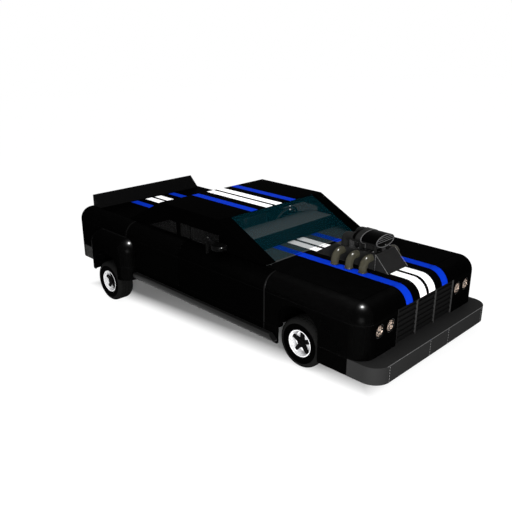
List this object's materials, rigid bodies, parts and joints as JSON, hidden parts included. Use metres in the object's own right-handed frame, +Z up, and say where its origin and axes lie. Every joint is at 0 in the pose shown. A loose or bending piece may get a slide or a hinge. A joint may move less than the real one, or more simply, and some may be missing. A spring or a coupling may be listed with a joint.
{
  "type": "muscle car",
  "caption": "Full-size two-door muscle car: slab sides with rounded shoulders, fastback cabin, blower and scoop on the bonnet, rear flares and a wedge spoiler.",
  "frame": {"origin": "on the ground under the middle of the car's box, between the wheels", "axes": "+X forward to the nose, +Y to the car's left, +Z up"},
  "size_m": [4.786, 2.31, 1.2953],
  "materials": {
    "body_black": "gloss black paint with white and blue stripes",
    "underbody": "matt black",
    "bumper_grey": "satin dark grey",
    "grille_dark": "satin",
    "lamp_lens": "clear over a dimpled reflector",
    "tail_red": "gloss translucent",
    "screen_glass": "teal tint",
    "side_glass": "dark tint",
    "dash_trim": "satin",
    "seat_vinyl": "satin, soft grain",
    "engine_grey": "painted, satin",
    "bare_steel": "satin",
    "pipe_grey": "brushed",
    "blower_grey": "satin cast",
    "scoop_metal": "polished",
    "carbon_weave": "diagonal weave, satin",
    "gloss_trim": "gloss black",
    "rim_chrome": "polished",
    "tyre_rubber": "matt"
  },
  "bodies": {
    "body": {"floor_pan": "underbody", "sills": "body_black", "firewall": "body_black", "wing_left": "body_black", "wing_right": "body_black", "nose_panel": "body_black", "grille": "grille_dark", "headlamps": "lamp_lens", "tail_panel": "body_black", "tail_lamps": "tail_red", "bumpers": "bumper_grey", "roof_shell": "body_black", "windscreen": "screen_glass", "rear_glass": "side_glass", "quarter_left": "body_black", "quarter_right": "body_black", "dashboard": "dash_trim", "seats": "seat_vinyl", "engine_block": "engine_grey", "front_crossmember": "bare_steel", "rear_axle": "bare_steel", "fuel_tank": "underbody", "side_pipes": "pipe_grey"},
    "steering_column": {"steering_wheel": "gloss_trim"},
    "bonnet_lid": {"bonnet": "body_black", "blower_housing": "blower_grey", "scoop": "scoop_metal"},
    "boot": {"boot_lid": "body_black", "spoiler": "carbon_weave"},
    "door_left": {"door_left": "body_black", "door_glass_left": "side_glass", "mirror_left": "gloss_trim"},
    "steering_left": {"knuckle_left": "bare_steel"},
    "front_wheel_left": {"tyre_front_left": "tyre_rubber", "rim_front_left": "rim_chrome"},
    "rear_wheel_left": {"tyre_rear_left": "tyre_rubber", "rim_rear_left": "rim_chrome"},
    "door_right": {"door_right": "body_black", "door_glass_right": "side_glass", "mirror_right": "gloss_trim"},
    "steering_right": {"knuckle_right": "bare_steel"},
    "front_wheel_right": {"tyre_front_right": "tyre_rubber", "rim_front_right": "rim_chrome"},
    "rear_wheel_right": {"tyre_rear_right": "tyre_rubber", "rim_rear_right": "rim_chrome"}
  },
  "joints": [
    {"name": "steering_turn", "type": "hinge", "parent": "body", "child": "steering_column", "pos_m": [0.13562, 0.37, 0.95919], "axis": [-0.9024, 0, 0.4309], "range_deg": [-448, 448]},
    {"name": "bonnet_hinge", "type": "hinge", "parent": "body", "child": "bonnet_lid", "pos_m": [0.95573, 0, 0.85453], "axis": [0, -1, 0], "range_deg": [0, 50]},
    {"name": "boot_hinge", "type": "hinge", "parent": "body", "child": "boot", "pos_m": [-1.37983, 0, 0.99851], "axis": [0, 1, 0], "range_deg": [0, 60]},
    {"name": "door_hinge_left", "type": "hinge", "parent": "body", "child": "door_left", "pos_m": [1.0788, 0.981, 0.60799], "axis": [-0.0615, 0, -0.9981], "range_deg": [0, 65]},
    {"name": "steer_left", "type": "hinge", "parent": "body", "child": "steering_left", "pos_m": [1.48188, 0.838, 0.2475], "axis": [0.0615, 0, 0.9981], "range_deg": [-28, 28]},
    {"name": "front_wheel_spin_left", "type": "hinge", "parent": "steering_left", "child": "front_wheel_left", "pos_m": [1.48188, 0.9237, 0.2475], "axis": [0, 1, 0], "continuous": true},
    {"name": "rear_wheel_spin_left", "type": "hinge", "parent": "body", "child": "rear_wheel_left", "pos_m": [-1.49376, 1.0986, 0.2475], "axis": [0, 1, 0], "continuous": true},
    {"name": "door_hinge_right", "type": "hinge", "parent": "body", "child": "door_right", "pos_m": [1.0788, -0.981, 0.60799], "axis": [0.0615, 0, 0.9981], "range_deg": [0, 65]},
    {"name": "steer_right", "type": "hinge", "parent": "body", "child": "steering_right", "pos_m": [1.48188, -0.838, 0.2475], "axis": [0.0615, 0, 0.9981], "range_deg": [-28, 28]},
    {"name": "front_wheel_spin_right", "type": "hinge", "parent": "steering_right", "child": "front_wheel_right", "pos_m": [1.48188, -0.9237, 0.2475], "axis": [0, 1, 0], "continuous": true},
    {"name": "rear_wheel_spin_right", "type": "hinge", "parent": "body", "child": "rear_wheel_right", "pos_m": [-1.49376, -1.0986, 0.2475], "axis": [0, 1, 0], "continuous": true}
  ],
  "couplings": [
    {"joint": "steer_left", "follows": "steering_turn", "ratio": 0.0625},
    {"joint": "steer_right", "follows": "steering_turn", "ratio": 0.0625}
  ]
}
